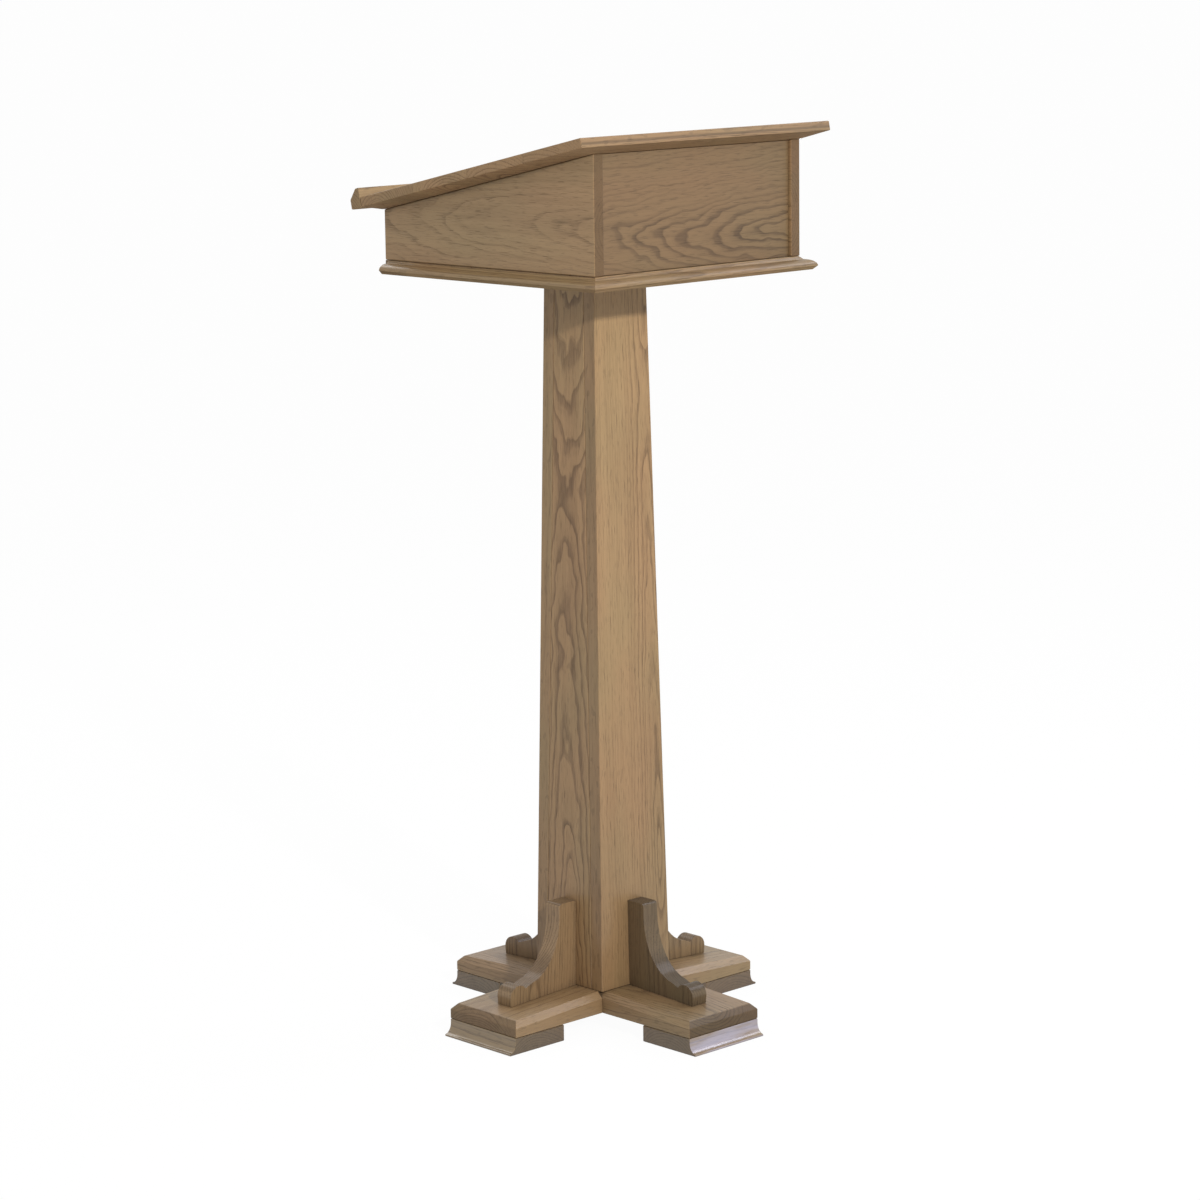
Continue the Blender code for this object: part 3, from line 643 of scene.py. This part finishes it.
# Desk: floor and slope of glued staves, one wide board in each side and in the front
board("desk_floor", X_AXIS, Y_AXIS, (0.0, 0.0, -0.05), seed=35.0, stave=STAVE_WIDTH, tone=0.9)
board(
    "desk_side_left", -Y_AXIS, Z_AXIS, (-0.35, -0.02, -0.08), seed=37.5,
    lean=-0.06, ring=0.006, figure=0.28, waver=0.01, tone=0.985, warm=-0.015, drink=0.7,
)
board(
    "desk_side_right", Y_AXIS, Z_AXIS, (0.3, -0.02, -0.07), seed=39.0,
    lean=-0.05, figure=0.55, waver=0.008, tone=0.92, drink=0.62,
)
# The front panel is made about half as light as the other boards
board(
    "desk_front", X_AXIS, Z_AXIS, (-0.36, -0.036, -0.085), seed=141.0,
    lean=-0.13, ring=0.0062, figure=1.0, spread=0.034, waver=0.016, tone=0.525, warm=0.03,
)
board(
    "slope_board", X_AXIS, Y_AXIS, (0.0, 0.0, -0.06), seed=43.0,
    stave=STAVE_WIDTH, tone=0.93, drink=0.0, flank=0.1,
)

# Trim along the desk, all of it sawn at one place beside the heart
TRIM_HEART = (0.1, 0.03, -0.05)
board("book_stop", X_AXIS, Y_AXIS, TRIM_HEART, seed=45.0, tone=0.98, drink=0.2)
board("moulding_front", X_AXIS, Y_AXIS, TRIM_HEART, seed=47.0, tone=0.76)
board("moulding_left", Y_AXIS, X_AXIS, TRIM_HEART, seed=49.0, tone=0.86)
board("moulding_right", Y_AXIS, X_AXIS, TRIM_HEART, seed=51.0, tone=0.86)

# Hidden work: pine blocks inside the post and under the slope, zinc screws
PINE = {"pale": LIGHT_PINE, "deep": DARK_PINE, "ring": 0.0034, "figure": 0.8, "gloss": 0.0}
PINE_HEART = (0.0, 0.02, 0.04)
GLUE_BLOCKS = [node for node in sorted(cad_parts) if node.startswith("glue_block")]
SCREWS = [node for node in sorted(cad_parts) if "screw" in node]
for number, block in enumerate(("foot_block", "head_block")):
    board(block, Z_AXIS, X_AXIS, PINE_HEART, seed=61.0 + number, **PINE)
for number, block in enumerate(GLUE_BLOCKS):
    board(block, Y_AXIS, X_AXIS, PINE_HEART, seed=71.0 + number, **PINE)
zinc = steel()
for screw in SCREWS:
    dress(screw, zinc)


# Studio: white floor and surround, one small key lamp, a window, a soft back lamp and an even fill
WHITE = (1.0, 1.0, 1.0, 1.0)
FLOOR_HALF = 120.0
FLOOR_DROP = 0.0002
FLOOR_PAINT = (0.6, 0.6, 0.6, 1.0)
FLOOR_GLOW = 1.035
GLOW_SHARE = 0.93
FILL_STRENGTH = 0.52

# Lamps: azimuth from the front and elevation in degrees, distance and width in metres, power in watts
KEY_LAMP = {
    "azimuth": -20.0, "elevation": 17.4, "distance": 3.3, "width": 0.15, "power": 69.0,
    "target": Vector((0, 0, 1.0)), "colour": (1.0, 0.97, 0.93),
}
WINDOW_LAMP = {
    "azimuth": 72.0, "elevation": 45.0, "distance": 3.0, "width": 1.1, "power": 16.5,
    "target": Vector((0, 0, 0)), "colour": (0.88, 0.89, 1.0),
}
BACK_LAMP = {
    "azimuth": 168.0, "elevation": 42.0, "distance": 3.5, "width": 1.6, "power": 20.0,
    "target": Vector((0, 0, 0.7)), "colour": (1.0, 1.0, 1.0),
}


def seen_directly(tree):
    """1 for rays from the camera, a mirror or glass, 0 for light that bounces off rough surfaces."""
    path = tree.nodes.new("ShaderNodeLightPath").outputs
    seen = calc(tree, "MAXIMUM", path["Is Camera Ray"], path["Is Glossy Ray"])
    return calc(tree, "MAXIMUM", seen, path["Is Transmission Ray"])


def make_world():
    """An even fill, which is white where it is seen directly."""
    world = bpy.data.worlds.new("studio")
    world.use_nodes = True
    scene.world = world
    tree = world.node_tree
    background = tree.nodes["Background"]
    background.inputs["Color"].default_value = WHITE
    strength = calc(tree, "MULTIPLY_ADD", seen_directly(tree), 1.0 - FILL_STRENGTH, FILL_STRENGTH)
    tree.links.new(strength, background.inputs["Strength"])


def make_floor():
    """A wide floor that is mostly white where it is seen directly, and takes the lectern's shadow."""
    mesh = bpy.data.meshes.new("floor")
    half = FLOOR_HALF
    corners = [(-half, -half, 0), (half, -half, 0), (half, half, 0), (-half, half, 0)]
    mesh.from_pydata(corners, [], [(0, 1, 2, 3)])
    floor = bpy.data.objects.new("floor", mesh)
    floor.location.z = -FLOOR_DROP
    scene.collection.objects.link(floor)
    material, tree, shader = open_material("floor_white")
    tree.nodes.remove(shader)
    paint = add_node(tree, "ShaderNodeBsdfDiffuse", {"Color": FLOOR_PAINT}).outputs[0]
    glow = add_node(tree, "ShaderNodeEmission", {"Color": WHITE, "Strength": FLOOR_GLOW}).outputs[0]
    share = calc(tree, "MULTIPLY", seen_directly(tree), GLOW_SHARE)
    blend = add_node(tree, "ShaderNodeMixShader", {0: share, 1: paint, 2: glow}).outputs[0]
    tree.links.new(blend, tree.nodes["Material Output"].inputs["Surface"])
    mesh.materials.append(material)


def make_lamp(name, azimuth, elevation, distance, width, power, target, colour):
    """A round lamp that looks at its target."""
    data = bpy.data.lights.new(name, "AREA")
    data.shape = "DISK"
    data.size = width
    data.energy = power
    data.color = colour
    lamp = bpy.data.objects.new(name, data)
    scene.collection.objects.link(lamp)
    around = math.radians(azimuth)
    up = math.radians(elevation)
    flat = math.cos(up) * distance
    away = Vector((math.sin(around) * flat, -math.cos(around) * flat, math.sin(up) * distance))
    lamp.location = target + away
    lamp.rotation_euler = (lamp.location - target).to_track_quat("Z", "Y").to_euler()


make_world()
make_floor()
make_lamp("key", **KEY_LAMP)
make_lamp("window", **WINDOW_LAMP)
make_lamp("back", **BACK_LAMP)
scene.view_settings.view_transform = "Standard"
